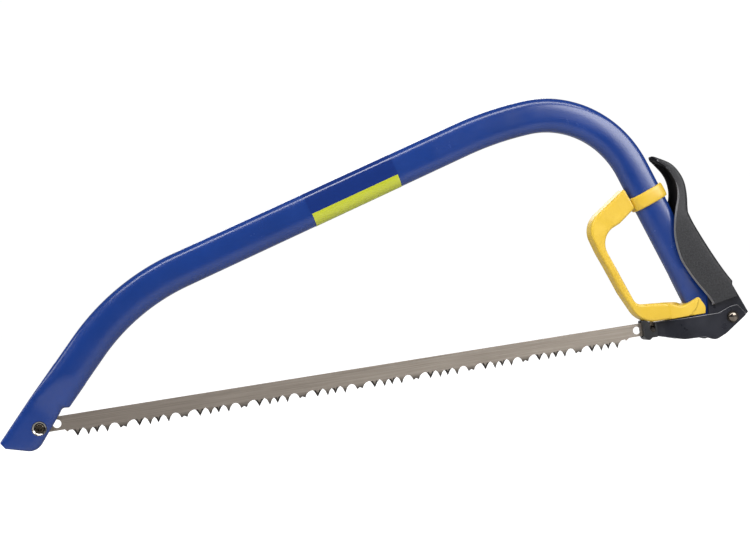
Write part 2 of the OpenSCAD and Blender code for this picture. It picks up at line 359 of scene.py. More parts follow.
def steel(name, dark, light, roughness, streak):
    """Bare or plated steel. The three numbers of streak are its noise scale along x, y and z."""
    m, nodes, links, shader, coords = material(name, light, roughness, metallic=1.0)
    where = coords.outputs["Object"]
    lines = noise(nodes, links, where, 1, 4, 0.6, streak)
    links.new(two_tone(nodes, links, lines, dark, light), shader.inputs["Base Color"])
    links.new(spread(nodes, links, lines, roughness - 0.08, roughness + 0.1),
              shader.inputs["Roughness"])
    bump(nodes, links, shader, lines, 0.12, 0.0001)
    return m


def blade_steel():
    """Brushed steel with painted shade: darker towards the nose, and darkening down to the ground tooth tips."""
    shade_fades_by = BOLT.x + 300 * MM
    tips, roots = BOLT.z - 9.5 * MM, BOLT.z - 5.2 * MM
    m, nodes, links, shader, coords = material("blade_steel", (0.26, 0.22, 0.18), 0.42, 0.7)
    where = coords.outputs["Object"]
    lines = noise(nodes, links, where, 1, 4, 0.6, (18, 200, 1500))
    shaded_tone = two_tone(nodes, links, lines, (0.2, 0.168, 0.14), (0.3, 0.26, 0.222))
    lit_tone = two_tone(nodes, links, lines, (0.285, 0.244, 0.203), (0.43, 0.378, 0.323))
    split = nodes.new("ShaderNodeSeparateXYZ")
    links.new(where, split.inputs["Vector"])
    # Painted shade along the blade: darker at the nose, lighter from 300 mm on.
    along = remap(nodes, links, split.outputs["X"], BOLT.x, shade_fades_by)
    # Painted shade at the teeth: the steel turns nearly black towards their tips.
    height = remap(nodes, links, split.outputs["Z"], tips, roots)
    side = colour_mix(nodes, links, along, shaded_tone, lit_tone)
    links.new(colour_mix(nodes, links, height, (0.07, 0.062, 0.055), side),
              shader.inputs["Base Color"])
    links.new(spread(nodes, links, lines, 0.34, 0.5), shader.inputs["Roughness"])
    bump(nodes, links, shader, lines, 0.15, 0.0001)
    return m


BLUE = paint("tube_paint", (0.0055, 0.026, 0.142), (0.0075, 0.033, 0.178), 0.22, 0.25, 0.002)
FILM_BLUE = paint("film_print_blue", (0.005, 0.02, 0.12), (0.007, 0.025, 0.145), 0.1, 0.3, 0.001)
FILM_GREEN = paint("film_print_green", (0.36, 0.39, 0.02), (0.43, 0.46, 0.03), 0.2, 0.3, 0.001)
YELLOW = moulded("guard_plastic", (0.57, 0.365, 0.026), (0.64, 0.43, 0.042), 0.33, 500, 0.03)
CHARCOAL = moulded("lever_plastic", (0.008, 0.008, 0.009), (0.025, 0.025, 0.028), 0.42, 1100,
                   0.6, 0.35, 650)
# A darker copy of the lever's plastic: painted shade for the inside of its channel.
TROUGH_SHADE = moulded("lever_plastic_inside_shade", (0.004, 0.004, 0.005), (0.008, 0.008, 0.009), 0.6, 900,
                 0.4, 0.15)
# A paler copy of the lever's plastic: a painted highlight for the lips round its channel.
LIP_HIGHLIGHT = moulded("lever_plastic_lip_highlight", (0.1, 0.1, 0.107), (0.16, 0.16, 0.17), 0.34, 900, 0.3)
BLACK = moulded("black_coat", (0.008, 0.0085, 0.012), (0.017, 0.018, 0.025), 0.3, 1500, 0.1, 0.3)
# A paler black coat for the saddle plate.
CLIP = moulded("black_coat_paler", (0.013, 0.0135, 0.015), (0.034, 0.035, 0.037), 0.3, 1500,
               0.1, 0.4)
# Paler black coat for the bevelled edges: a painted highlight.
EDGE_HIGHLIGHT = moulded("black_coat_edge_highlight", (0.13, 0.13, 0.138), (0.24, 0.24, 0.252), 0.3, 900, 0.1)
PLATED = steel("plated_steel", (0.26, 0.25, 0.235), (0.4, 0.385, 0.36), 0.17, (400, 400, 400))
RIVET = steel("rivet_steel", (0.14, 0.12, 0.1), (0.28, 0.24, 0.2), 0.16, (300, 300, 300))
# Steel painted dark: a painted shade for the rivet's washers and the pins.
SHADE_DARK_STEEL = steel("steel_painted_shade", (0.03, 0.028, 0.025), (0.07, 0.062, 0.055), 0.3, (300, 300, 300))
# Dark bronze for the bolt: a painted shade on a plated part.
BOLT_SHADE_STEEL = steel("bolt_steel_painted_shade", (0.05, 0.042, 0.032), (0.1, 0.085, 0.065), 0.25, (300, 300, 300))
# Darker steel for the ground facets of the teeth: a painted shade.
FACET_SHADE = steel("ground_facet_shade", (0.04, 0.036, 0.033), (0.085, 0.077, 0.07), 0.45, (1500, 200, 18))
BLADE = blade_steel()

# ---------------------------------------------------------------- frame tube
TUBE_W, TUBE_T = 29.7, 16.9
NOSE_T, TAIL_T = 9.0, 12.0
TUBE_POWER, NOSE_POWER, TAIL_POWER = 2.7, 5.0, 4.5  # how square the oval section is
NOSE_TO, TAIL_FROM = 70, 100  # the ends are pressed flat, up to and from here
START = (-17.0, -11.5)
START_DIR = 47.9
# The length of each run of the centre line, and its bend's radius, or None where it is straight.
RUNS = [(94.6, None), (math.radians(30.7) * 182, 182), (265.0, None),
        (math.radians(11.7) * 311, 311), (math.radians(74.9) * 88, 88), (169.0, None)]
BAR_FROM = RUNS[0][0] + RUNS[1][0]
BAR_TO = BAR_FROM + RUNS[2][0]
LEG_FROM = sum(r[0] for r in RUNS[:5])


def tube_centre(s):
    """Point and direction of the tube's centre line, s along it from the nose."""
    x, z, a = START[0], START[1], math.radians(START_DIR)
    if s < 0:
        return x + s * math.cos(a), z + s * math.sin(a), a
    for length, r in RUNS:
        step = min(s, length)
        if r is None:
            x += step * math.cos(a)
            z += step * math.sin(a)
        else:
            cx, cz = x + r * math.sin(a), z - r * math.cos(a)
            a -= step / r
            x, z = cx - r * math.sin(a), cz + r * math.cos(a)
        s -= step
        if s <= 1e-9:
            break
    return x, z, a


# Side views of the pressed ends: along the centre line, and across it.
NOSE = rounded([(-6, 14.2, 1.2), (-7.4, 7.6, 4.5), (3.2, -14.2, 10.4), (36, -11.5),
                (43, -10.6, 3.5), (46.2, -14.9, 1.2), (47.6, -15), (70, -15), (70, 15),
                (36, 15)], 12)
TAIL = rounded([(100, -15), (163.5, -15.6, 3), (167.5, -8, 6), (161, 11, 10), (140, 15, 20),
                (100, 15)], 12)


def chain(outline, side, ends):
    """The lower (side -1) or upper (side 1) edge of an outline as sorted (x, y) points.

    The outline comes to an end at its left or right, and it is cut off square at the other side.
    """
    xs = [p[0] for p in outline]
    near, far = (min(xs), max(xs)) if ends == "left" else (max(xs), min(xs))
    tip, n = xs.index(near), len(outline)
    for step in (1, -1):
        path, k = [], tip
        while True:
            path.append(outline[k % n])
            if abs(outline[k % n][0] - far) < 1e-6:
                break
            k += step
        if (sum(p[1] for p in path) > 0) == (side > 0):
            break
    return sorted(path)


def edge(points):
    """A function that reads y off a line of sorted (x, y) points."""
    xs = [p[0] for p in points]
    ys = [p[1] for p in points]
    return lambda x: float(np.interp(x, xs, ys))


nose_low, nose_high = edge(chain(NOSE, -1, "left")), edge(chain(NOSE, 1, "left"))
tail_low, tail_high = edge(chain(TAIL, -1, "right")), edge(chain(TAIL, 1, "right"))
NOSE_TIP = min(p[0] for p in NOSE)
TAIL_TIP = max(p[0] for p in TAIL)


def tube_section(s, grow=0.0, n=72):
    """The tube's oval outline at s along it, made larger all round by grow."""
    x, z, a = tube_centre(s)
    leg = s - LEG_FROM
    low, high, thick, power = -TUBE_W / 2, TUBE_W / 2, TUBE_T, TUBE_POWER
    if s < NOSE_TO:
        low, high = nose_low(s), nose_high(s)
        thick = mix(NOSE_T, TUBE_T, smooth(30, NOSE_TO, s))
        power = mix(NOSE_POWER, TUBE_POWER, smooth(24, 64, s))
    if leg > TAIL_FROM:
        low, high = tail_low(leg), tail_high(leg)
        thick = mix(TUBE_T, TAIL_T, smooth(96, 128, leg))
        power = mix(TUBE_POWER, TAIL_POWER, smooth(98, 130, leg))
    mid, half = (low + high) / 2, (high - low) / 2 + grow
    ring = []
    for k in range(n):
        t = 2 * math.pi * k / n
        c, w = math.cos(t), math.sin(t)
        across = mid + half * math.copysign(abs(c) ** (2 / power), c)
        depth = (thick / 2 + grow) * math.copysign(abs(w) ** (2 / power), w)
        ring.append(at(x - across * math.sin(a), z + across * math.cos(a), depth))
    return ring


def stations(s0, s1, step):
    """Even places from s0 up to, but not at, s1."""
    n = max(1, round((s1 - s0) / step))
    return [s0 + (s1 - s0) * k / n for k in range(n)]


def tube_stations():
    """Where the tube's sections stand: close together where its shape changes quickly."""
    tip = [NOSE_TIP + v for v in (0.01, 0.06, 0.15, 0.3, 0.5, 0.8, 1.1, 1.5, 2, 2.6, 3.3)]
    s = tip + stations(tip[-1] + 0.7, 36, 1) + stations(36, 50, 0.5)
    s += stations(50, 74, 2) + stations(74, RUNS[0][0], 5)
    s += stations(RUNS[0][0], BAR_FROM, 3) + stations(BAR_FROM, BAR_TO, 12)
    s += stations(BAR_TO, LEG_FROM, 2.5) + stations(LEG_FROM, LEG_FROM + 96, 6)
    s += stations(LEG_FROM + 96, LEG_FROM + 140, 2) + stations(LEG_FROM + 140, LEG_FROM + 160, 1)
    end = LEG_FROM + TAIL_TIP
    s += stations(LEG_FROM + 160, end - 1, 0.5)
    return s + [end - v for v in (1, 0.6, 0.3, 0.12, 0.02)]


SLOT_HALF = 0.8  # the slot that takes the blade's front end
SEAT = NOSE_T / 2 - 1.2  # where the bolt's washers sit, in dishes pressed into the nose
tube = loft("tube_skin", [tube_section(s) for s in tube_stations()])
slot = prism("slot", [(-13, -30), (47, -30), (47, 10.5), (-13, 10.5)], -SLOT_HALF, SLOT_HALF)
dish = [lathe("dish", (0, 0), [(0, side * SEAT), (5.9, side * SEAT), (6.3, side * NOSE_T),
                               (0, side * NOSE_T)]) for side in (1, -1)]
cut(tube, slot, *dish)
shade(tube, 40)
finish_piece(tube, BLUE, "frame", "frame_paint", "frame_tube")


# ---------------------------------------------------------------- printed film on the top bar
FILM_S0, FILM_S1 = BAR_FROM + 117.8, BAR_FROM + 199.8
FILM_T = 0.12
WRAP_LIFT, BAND_LIFT = 0.13, 0.2  # how far each outer face stands off the paint
BAND_MARGIN = 0.5
FINE = 144  # points round the section


def sleeve(name, outer, inner):
    """A hoop: outer rings, and inner rings that turn back to meet them at both ends."""
    rings = outer + inner[::-1]
    n, m = len(rings), len(rings[0])
    faces = [(i * m + k, i * m + (k + 1) % m, (i + 1) % n * m + (k + 1) % m, (i + 1) % n * m + k)
             for i in range(n) for k in range(m)]
    return new_object(name, [p for ring in rings for p in ring], faces)


def film_rings(s0, s1, lift):
    """The outer and inner rings of a film at a few places along the bar."""
    places = np.linspace(s0, s1, 12)
    return ([tube_section(s, lift, FINE) for s in places],
            [tube_section(s, lift - FILM_T, FINE) for s in places])


wrap = sleeve("label_wrap", *film_rings(FILM_S0, FILM_S1, WRAP_LIFT))
shade(wrap, 50)
finish_piece(wrap, FILM_BLUE, "frame", "label_film")
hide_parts("frame_label")
bands = film_rings(FILM_S0 + BAND_MARGIN, FILM_S1 - BAND_MARGIN, BAND_LIFT)
for name, turn_from, turn_to in (("label_band_near", 98, 180), ("label_band_far", 180, 262)):
    arc_points = [k for k in range(FINE) if turn_from <= 360 * k / FINE <= turn_to]
    band = loft(name, [[o[k] for k in arc_points] + [i[k] for k in reversed(arc_points)]
                       for o, i in zip(*bands)])
    shade(band, 50)
    finish_piece(band, FILM_GREEN, "frame", "label_film")


# ---------------------------------------------------------------- hand guard
def arc(cx, cz, r, a0, a1, n):
    """Points on a circle from one angle to another, in degrees, with both ends."""
    return [(cx + r * math.cos(math.radians(mix(a0, a1, k / (n - 1)))),
             cz + r * math.sin(math.radians(mix(a0, a1, k / (n - 1))))) for k in range(n)]


# The outer and inner edges of the strap, point for point, and how wide it is at each pair.
guard_outer = [(533, 135.9), (526.5, 131.4), (519.4, 126.5), (511, 120.7), (502, 114.5)]
guard_outer += arc(504.4, 92.5, 19.5, 124.6, 202.9, 9)
guard_outer += [(489.6, 75), (494.9, 62.3), (500, 49.3), (505, 36.3)]
guard_outer += arc(533.6, 29, 22, 202.9, 270, 9)
guard_outer += [(541, 7), (549, 7.1), (557, 7.1), (565, 7.2), (571, 7.3)]
guard_inner = [(541, 117.8), (534, 113.2), (527.6, 108.8), (519.6, 102.6), (512.8, 97.6)]
guard_inner += arc(514.2, 79.4, 17.4, 120.7, 202.5, 9)
guard_inner += [(500.4, 67.4), (504.5, 57.3), (508.2, 47.9), (511.6, 39.4)]
guard_inner += [(513.8, 33.6), (514.7, 31), (515.7, 28.6), (517, 26.8), (518.8, 25.3),
                (521, 24.3), (525, 23.7), (529.5, 23.3), (535, 23.0)]
guard_inner += [(541.5, 22.5), (549, 20.6), (556.5, 17.8), (564, 17.6), (571, 17.6)]
count = len(guard_outer)
widths = [mix(17.0, 13.6, smooth(0.0, 0.22, k / (count - 1)))
          + 4.6 * smooth(0.74, 0.95, k / (count - 1)) for k in range(count)]


def block_ring(a, b, width, radius, n=9):
    """Section of a bar with rounded edges, between two outline points and across the saw."""
    thick = math.dist(a, b)
    ux, uz = (b[0] - a[0]) / thick, (b[1] - a[1]) / thick
    r = min(radius, thick * 0.42)
    ring = []
    for cx, cd, a0 in ((thick - r, width / 2 - r, 0), (r, width / 2 - r, 90),
                       (r, r - width / 2, 180), (thick - r, r - width / 2, 270)):
        for k in range(n):
            t = math.radians(a0 + 90 * k / (n - 1))
            u, d = cx + r * math.cos(t), cd + r * math.sin(t)
            ring.append(at(a[0] + ux * u, a[1] + uz * u, d))
    return ring


def leg_point(along, across):
    """A point beside the straight leg of the tube."""
    x, z, a = tube_centre(LEG_FROM + along)
    return x - across * math.sin(a), z + across * math.cos(a)


guard = loft("guard", [block_ring(o, i, w, 2.4)
                       for o, i, w in zip(guard_outer, guard_inner, widths)])


def oval_block(name, s0, s1, grow, crown, steps=8):
    """A band round the leg, raised by grow, that drops by crown towards both ends."""
    return loft(name, [tube_section(LEG_FROM + mix(s0, s1, k / steps),
                                    grow - crown * (2 * k / steps - 1) ** 4)
                       for k in range(steps + 1)])


LEG_BACK = -15.0  # the strap stops at the back of the leg
leg_side = [leg_point(along, across) for along, across in
            ((-30, LEG_BACK), (-30, 40), (180, 40), (180, LEG_BACK))]
cut(guard, prism("leg_room", leg_side, -30, 30))
collar = oval_block("collar", 22.6, 35.2, 2.6, 0.5)
clip_outline = rounded([(548, 7.1, 1), (548, 21.2), (557.5, 17.6, 6), (563, 18, 6),
                        (576.6, 23.3, 2.4), (582, 13, 6), (580.6, 7.1, 1)])
clip = prism("clip", clip_outline, -7.8, 7.8)
back_lip = prism("back_lip", [(533, 10), (533, 22.9), (549, 21.9), (560, 20.6), (565, 18),
                              (565, 10)], -8.8, -4)
over = rounded([(547, 7.1), (547, 21.2), (557.5, 16.6, 5), (563, 17.6, 6), (576.6, 23.3, 1.4),
                (572.4, 14, 10), (566.5, 8.6, 8), (562, 7.1)])
join(guard, collar, clip, back_lip, prism("strap_end", over, -9, 9))
# One skin over the joined parts, relaxed so that they flow into each other as a moulding does.
modify(guard, "REMESH", mode="VOXEL", voxel_size=0.6 * MM)
bake(guard)
modify(guard, "SMOOTH", factor=0.5, iterations=6)
bake(guard)
bore = loft("bore", [tube_section(LEG_FROM + s, 0.04) for s in
                     stations(-30, 96, 6) + stations(96, 168.8, 2)])
cut(guard, bore)
shade(guard, 50)
finish_piece(guard, YELLOW, "frame", "guard_plastic", "hand_guard")

# ---------------------------------------------------------------- lever grip
# The grip's rows from its top end to its foot: a point on its back and one on its lip, then half
# its width, the depth of the channel's floor below the back, and how round the back corners are.
REAR = [(550.7, 153.3), (552.6, 152.7), (556.4, 150.9), (561.5, 148.4), (566.5, 145.5),
        (571.2, 141.0), (575.2, 134.9), (577.9, 128.5), (579.2, 121.5), (579.0, 112.5),
        (578.1, 105.0), (577.7, 99.2), (581.0, 89.5), (586.0, 78.3), (591.4, 67.6),
        (596.8, 56.6), (601.5, 47.4), (606.0, 39.4), (610.2, 32.6), (608.8, 29.8),
        (610.6, 25.3), (612.6, 20.4), (612.4, 19.0)]
LIP = [(550.0, 150.9), (552.0, 149.2), (555.8, 146.1), (559.9, 141.9), (563.2, 137.8),
       (565.9, 132.9), (567.4, 128.2), (568.3, 123.6), (568.6, 118.0), (567.6, 111.5),
       (565.4, 105.8), (563.4, 99.4), (560.9, 89.0), (559.9, 79.0), (560.6, 68.5),
       (563.0, 57.8), (568.3, 46.6), (574.6, 35.6), (580.6, 26.6), (583.2, 22.6),
       (585.3, 19.0), (586.9, 15.6), (586.4, 14.4)]
FULL = 12.2
HALF = [4.2, 6.0, 7.4, 8.2, 8.6, 8.9, 9.2, 9.6, 10.1, 10.8, 11.4, 11.9] + [FULL] * 11
# They were traced as if it had its full width all along. Where it narrows, its near edge lies
# farther from the camera, and the slant of the view moves it over.
REAR = [(x + 0.3 * (FULL - h), z) for (x, z), h in zip(REAR, HALF)]
LIP = [(x + 0.42 * (FULL - h), z) for (x, z), h in zip(LIP, HALF)]
FLOOR = [2.2, 3.2, 3.6, 3.7, 3.6, 3.4] + [3.2] * 12 + [2.6] * 5
ROUND = [1.1, 1.8, 2.4, 2.9, 3.3, 3.7, 4.2, 4.8] + [5.6] * 6 + [6.4, 6, 5.4, 5, 4.6, 3, 3, 3, 3]


def spline(points, per):
    """Catmull-Rom through tuples of any length."""
    out = []
    pts = [np.array(p, float) for p in points]
    for i in range(len(pts) - 1):
        p0 = pts[max(i - 1, 0)]
        p1, p2 = pts[i], pts[i + 1]
        p3 = pts[min(i + 2, len(pts) - 1)]
        for k in range(per):
            t = k / per
            out.append(0.5 * (2 * p1 + (p2 - p0) * t + (2 * p0 - 5 * p1 + 4 * p2 - p3) * t * t
                              + (3 * p1 - p0 - 3 * p2 + p3) * t ** 3))
    out.append(pts[-1])
    return out


def channel_ring(rear, lip, half, floor, radius, wall, n=8):
    """Section of the open-fronted grip: a channel with rounded back corners and rounded lips."""
    deep = math.dist(rear, lip)
    ux, uz = (lip[0] - rear[0]) / deep, (lip[1] - rear[1]) / deep
    r = min(radius, deep * 0.6, half * 0.7)
    floor = min(floor, deep - 0.35)
    ri = min(max(r - wall * 0.7, 0.3), (deep - floor) * 0.9, (half - wall) * 0.8)
    e = min(wall / 2, (deep - floor) * 0.45, 1.2)
    path = []

    def turn(cu, cd, rad, a0, a1):
        for k in range(n):
            t = math.radians(mix(a0, a1, k / (n - 1)))
            path.append((cu + rad * math.cos(t), cd + rad * math.sin(t)))

    turn(deep - e, half - wall / 2, e, 0, 90)
    path[-1] = (deep - e, half)
    for t in (0.33, 0.66):
        path.append((mix(deep - e, r, t), half))
    turn(r, half - r, r, 90, 180)
    for t in (0.25, 0.5, 0.75):
        path.append((0, mix(half - r, r - half, t)))
    turn(r, r - half, r, 180, 270)
    for t in (0.33, 0.66):
        path.append((mix(r, deep - e, t), -half))
    turn(deep - e, wall / 2 - half, e, -90, 0)
    inside = half - wall
    path.append((deep - e * 0.6, -inside))
    turn(floor + ri, ri - inside, ri, 270, 180)
    for t in (0.25, 0.5, 0.75):
        path.append((floor, mix(ri - inside, inside - ri, t)))
    turn(floor + ri, inside - ri, ri, 180, 90)
    path.append((deep - e * 0.6, inside))
    return [at(rear[0] + ux * u, rear[1] + uz * u, d) for u, d in path]


packed = [(*a, *b, h, f, r) for a, b, h, f, r in zip(REAR, LIP, HALF, FLOOR, ROUND)]
# Two smooth lengths that meet at row 11, then the stepped foot as it is drawn, from row 19.
grip_rows = spline(packed[:12], 5)[:-1] + spline(packed[11:19], 5)
grip_rows += [np.array(p) for p in packed[19:]]
WALL, WALL_LOW, WALL_LOW_TO = 2.9, 3.5, 60  # the walls are thicker near the foot
grip = loft("grip", [channel_ring(p[:2], p[2:4], *p[4:], WALL if p[1] > WALL_LOW_TO else WALL_LOW)
                     for p in grip_rows])
shade(grip, 38)
finish_piece(grip, CHARCOAL, "lever", "lever_plastic", "lever_grip")
grip.data.materials.append(TROUGH_SHADE)
grip.data.materials.append(LIP_HIGHLIGHT)
# Faces inside the channel get a painted shade, darker and duller than the rest, and the lips round its open front
# a painted highlight, paler than the rest.
OPEN_X, OPEN_Z = -0.9, -0.2
INSIDE_HALF = 9.2
for face in grip.data.polygons:
    facing = face.normal.x * OPEN_X + face.normal.z * OPEN_Z
    inward = face.normal.y * (face.center.y - BOLT.y) < 0
    if (facing > 0.4 or inward) and abs(face.center.y - BOLT.y) < INSIDE_HALF * MM:
        face.material_index = 1
    elif facing > 0.3:
        face.material_index = 2

# ---------------------------------------------------------------- lever core
CORE_HALF, GAP_HALF = 8.4, 6.4  # a folded sheet: two cheeks and the back that joins them
core_rear = [(621.3, 3), (609.6, 29.8), (606.8, 33.4), (595.2, 53.4), (585.4, 73)]
core_front = [(580.6, 71), (588.4, 48), (595.2, 29), (585.4, 23), (583, 6), (575.2, -1.2)]
lobe = [(LEVER_AT[0] + 9 * math.cos(math.radians(a)), LEVER_AT[1] + 9 * math.sin(math.radians(a)))
        for a in range(180, 291, 10)]
core = prism("core", core_rear + core_front + lobe + [(603, -9), (612, -4)], -CORE_HALF, CORE_HALF)
inside = [(x - 2 * 0.93, z - 2 * 0.4) for x, z in core_rear]  # two millimetres in from the back
cut(core, prism("gap", [(632, -30)] + inside + [(560, 90), (540, -30)], -GAP_HALF, GAP_HALF))
soften(core, 0.45)
shade(core, 30)
flat_sides(core)
finish_piece(core, BLACK, "lever", "black_coat", "lever_core")

# ---------------------------------------------------------------- tension link
LINK = rounded([(523.2, -6, 2.5), (523.2, 5.6, 2.5), (534, 6.1), (592, 6.3, 10), (603.5, 10.4, 5),
                (610.6, 11.2, 2), (618.6, 1.2, 2), (596.5, -13, 8), (585.5, -17.4, 9),
                (575.5, -13.1, 6), (556, -12.4, 14), (541.5, -8.3, 14), (533, -6, 6)], 10)
HOOK_HALF, SHEET = 1.6, 1.8  # half the gap between the cheeks at the hook, and their thickness
LINK_INNER = CORE_HALF + 0.4  # half the gap at the lever
FLARE = (541, 561)  # where the cheeks spread from one to the other
PIN_AT = (529.95, 0.2)  # where the hook holds the blade's rear pin


def cheek_at(x):
    return mix(HOOK_HALF, LINK_INNER, smooth(*FLARE, x))


def pin_notch(r, reach):
    """Cutters for a notch that is open at the top: a round seat for the pin and its mouth."""
    x, z = PIN_AT
    mouth = [(x - r, z), (x + r, z), (x + r, 20), (x - r, 20)]
    return prism("notch", disc(PIN_AT, r), -reach, reach), prism("mouth", mouth, -reach, reach)


def cheek(name, side):
    """One cheek of the link: its outline in narrow strips that follow the flare."""
    obj = prism(name, LINK, 0, SHEET)
    cut(obj, *pin_notch(2.8, 5))
    bm = bmesh.new()
    bm.from_mesh(obj.data)
    for x in np.arange(540, 563, 1.5):
        bmesh.ops.bisect_plane(bm, geom=bm.verts[:] + bm.edges[:] + bm.faces[:],
                               plane_co=at(x, 0), plane_no=(1, 0, 0))
    bm.to_mesh(obj.data)
    bm.free()
    # The bevelled edges get a painted highlight.
    highlight_edges(obj, 0.45, 50)
    for v in obj.data.vertices:
        depth = -(v.co.y - BOLT.y) / MM + cheek_at((v.co.x - BOLT.x) / MM)
        v.co.y = BOLT.y - side * depth * MM
    tidy(obj)
    return obj


near, far = cheek("link_cheek_near", 1), cheek("link_cheek_far", -1)
floor_at = edge(sorted(p for p in LINK if p[1] < 0 and 530 < p[0] < 560))
rows = []
for x in np.linspace(536.5, 556, 14):
    z, half = floor_at(x), cheek_at(x) + 0.4
    rows.append([at(x, z + 0.15, -half), at(x, z + 0.15, half), at(x, z + 1.9, half),
                 at(x, z + 1.9, -half)])
web = loft("link_web", rows)
merge(near, far, web)
near.name = "tension_link_skin"
shade(near, 32)
flat_sides(near)
finish_piece(near, BLACK, "link", "black_coat", "tension_link")

# ---------------------------------------------------------------- saddle plate on the link's nose
SADDLE = rounded([(521.3, -8.4, 4), (521.3, 9.6, 1.4), (524, 9.4, 1), (528, 6.6, 2.5),
                  (534.5, 6.1, 0.6), (533.4, -6.9, 1), (528.5, -6.7, 1), (526, -8.4, 1)])
saddle = prism("saddle", SADDLE, -5.2, 5.2)
cut(saddle,
    prism("room", [(523.1, -6), (540, -6), (540, 24), (523.1, 24)], -3.4, 3.4),
    prism("slit", [(510, -5.2), (524, -5.2), (524, 24), (510, 24)], -1, 1),
    *pin_notch(2.5, 9))
# The bevelled edges get a painted highlight.
highlight_edges(saddle, 0.65)
shade(saddle, 30)
flat_sides(saddle)
finish_piece(saddle, CLIP, "link", "black_coat", "link_nose_clip")

# ---------------------------------------------------------------- blade
PITCH, GROUPS, FIRST = 49.35, 10, 28.4
BACK, BASE = 7.2, -4.2  # the blade's back edge, and its plain lower edge at both ends
HALF_T = 0.4
# A ground facet takes a wedge off both flanks of a tooth, on one face of the blade.
BEFORE, BEYOND = 1.2, 2  # how far a wedge runs past the tooth's foot and its tip
OFF, INTO = 1.0, 1.5  # how far it reaches to either side of the flank
OFF_D, INTO_D, OUTER_D = -0.2, HALF_T + 0.02, 2.0  # the depth of its sloped face, and its top
TEETH = [  # left foot, tip, right foot; the side its bevel is ground on
    ((-2.1, -6.8), (0, -11.2), (2.7, -7.0), 1), ((6.9, -6.9), (8.6, -11.6), (10.7, -7.5), -1),
    ((13.9, -7.4), (15.3, -11), (17.7, -7.0), 1), ((21.9, -7.1), (23.6, -11.8), (25.6, -7.6), -1)]
VALLEYS = [[(-3.4, -5.2)], [(4.9, -4.9)], [(12.5, -5.8)], [(19.9, -5.1)]]
RAKER = [(27.6, -5.6), (29.6, -5.1), (31.8, -5.8), (33, -7.4), (34.2, -10.2), (36.5, -8.8),
         (38.9, -10.2), (40.2, -7.5), (42, -6), (44.4, -5.1)]

edge_line, grinds = [(19, BASE), (20.8, -6.3), (22.6, -5.2)], []
for g in range(GROUPS):
    x0 = FIRST + g * PITCH
    for (foot, tip, heel, side), valley in zip(TEETH, VALLEYS):
        edge_line += [(x0 + x, z) for x, z in valley + [foot, tip, heel]]
        grinds.append(([(x0 + x, z) for x, z in (foot, tip, heel)], side))
    if g < GROUPS - 1:
        edge_line += [(x0 + x, z) for x, z in RAKER]
last = FIRST + (GROUPS - 1) * PITCH
edge_line += [(last + 28.5, -5.2), (last + 32.2, -5), (last + 32.8, -6.3), (last + 36, BASE)]
outline = rounded([(536.5, BASE, 5), (536.5, BACK, 5.5), (-9, BACK, 6), (-9, BASE, 5)], 8)
blade = prism("blade", outline + edge_line, -HALF_T, HALF_T)
holes = [prism("hole", disc(c, r), -3, 3)
         for c, r in (((0, 0), 3.05), ((530, 0), 2.2), ((13.6, 1.3), 3.4), ((516.4, 1.3), 3.4))]
wedges = []
for (foot, tip, heel), side in grinds:
    for a, b in ((foot, tip), (heel, tip)):
        run = Vector((b[0] - a[0], b[1] - a[1])).normalized()
        across = Vector((-run.y, run.x))
        if across.dot(Vector((foot[0] + heel[0], foot[1] + heel[1])) / 2 - Vector(a)) < 0:
            across = -across
        verts = []
        for p in (Vector(a) - run * BEFORE, Vector(b) + run * BEYOND):
            for q, d in ((p - across * OFF, OFF_D), (p - across * OFF, OUTER_D),
                         (p + across * INTO, OUTER_D), (p + across * INTO, INTO_D)):
                verts.append(at(q.x, q.y, side * d))
        wedges.append(new_object("wedge", verts, [(0, 1, 2, 3), (7, 6, 5, 4), (0, 4, 5, 1),
                                                  (1, 5, 6, 2), (2, 6, 7, 3), (3, 7, 4, 0)]))
cut(blade, *holes)
combine(blade, "DIFFERENCE", [merge(*wedges)], use_self=True)
shade(blade, 12)
finish_piece(blade, BLADE, "blade", "blade_steel", "saw_blade")
blade.data.materials.append(FACET_SHADE)
# The ground facets lean a little out of the blade's own plane. They get a darker steel, a painted shade.
for face in blade.data.polygons:
    if 0.88 < abs(face.normal.y) < 0.995 and face.center.z < BOLT.z - 4 * MM:
        face.material_index = 1

# ---------------------------------------------------------------- bolt, rivet and pins
# The bolt's head is rolled over at its rim, with a hollow in the middle. It is coloured dark bronze, a painted
# shade in place of its plated finish.
bolt = lathe("bolt", (0, 0), [(0, -7.6), (2.6, -7.6), (3, -7.2), (3, SEAT + 0.2),
                              (3.7, SEAT + 0.25), (3.8, SEAT + 0.5), (3.5, SEAT + 0.9),
                              (2.7, SEAT + 1.2), (2.1, SEAT + 1.25), (1.9, SEAT + 1.15),
                              (1.8, SEAT + 0.2), (0, SEAT + 0.1)])
shade(bolt, 50)
finish_piece(bolt, BOLT_SHADE_STEEL, "frame", "plated_steel", "front_bolt")
for side, name in ((1, "near"), (-1, "far")):
    cup = lathe("cup_washer_" + name, (0, 0),
                [(3.05, side * SEAT), (5.6, side * SEAT), (5.7, side * (SEAT + 1.2)),
                 (5.45, side * (SEAT + 1.3)), (5.2, side * (SEAT + 1.2)),
                 (4.3, side * (SEAT + 0.5)), (3.8, side * (SEAT + 0.18)),
                 (3.05, side * (SEAT + 0.1))])
    shade(cup, 60)
    finish_piece(cup, PLATED, "frame", "plated_steel", "bolt_washer_" + name)
edge_d = LINK_INNER + SHEET + 0.7  # the rivet's heads start here, outside its washers
for side, name in ((1, "rivet_near"), (-1, "rivet_far")):
    rivet = lathe(name, RIVET_AT, [(0, 0), (3, 0), (3, side * edge_d), (4.1, side * edge_d),
                                   (4.3, side * (edge_d + 0.3)), (4.0, side * (edge_d + 0.9)),
                                   (3.2, side * (edge_d + 1.45)), (2.1, side * (edge_d + 1.8)),
                                   (1.0, side * (edge_d + 1.96)), (0, side * (edge_d + 2.0))])
    shade(rivet, 60)
    finish_piece(rivet, RIVET, "link", "rivet_steel", "link_rivet")

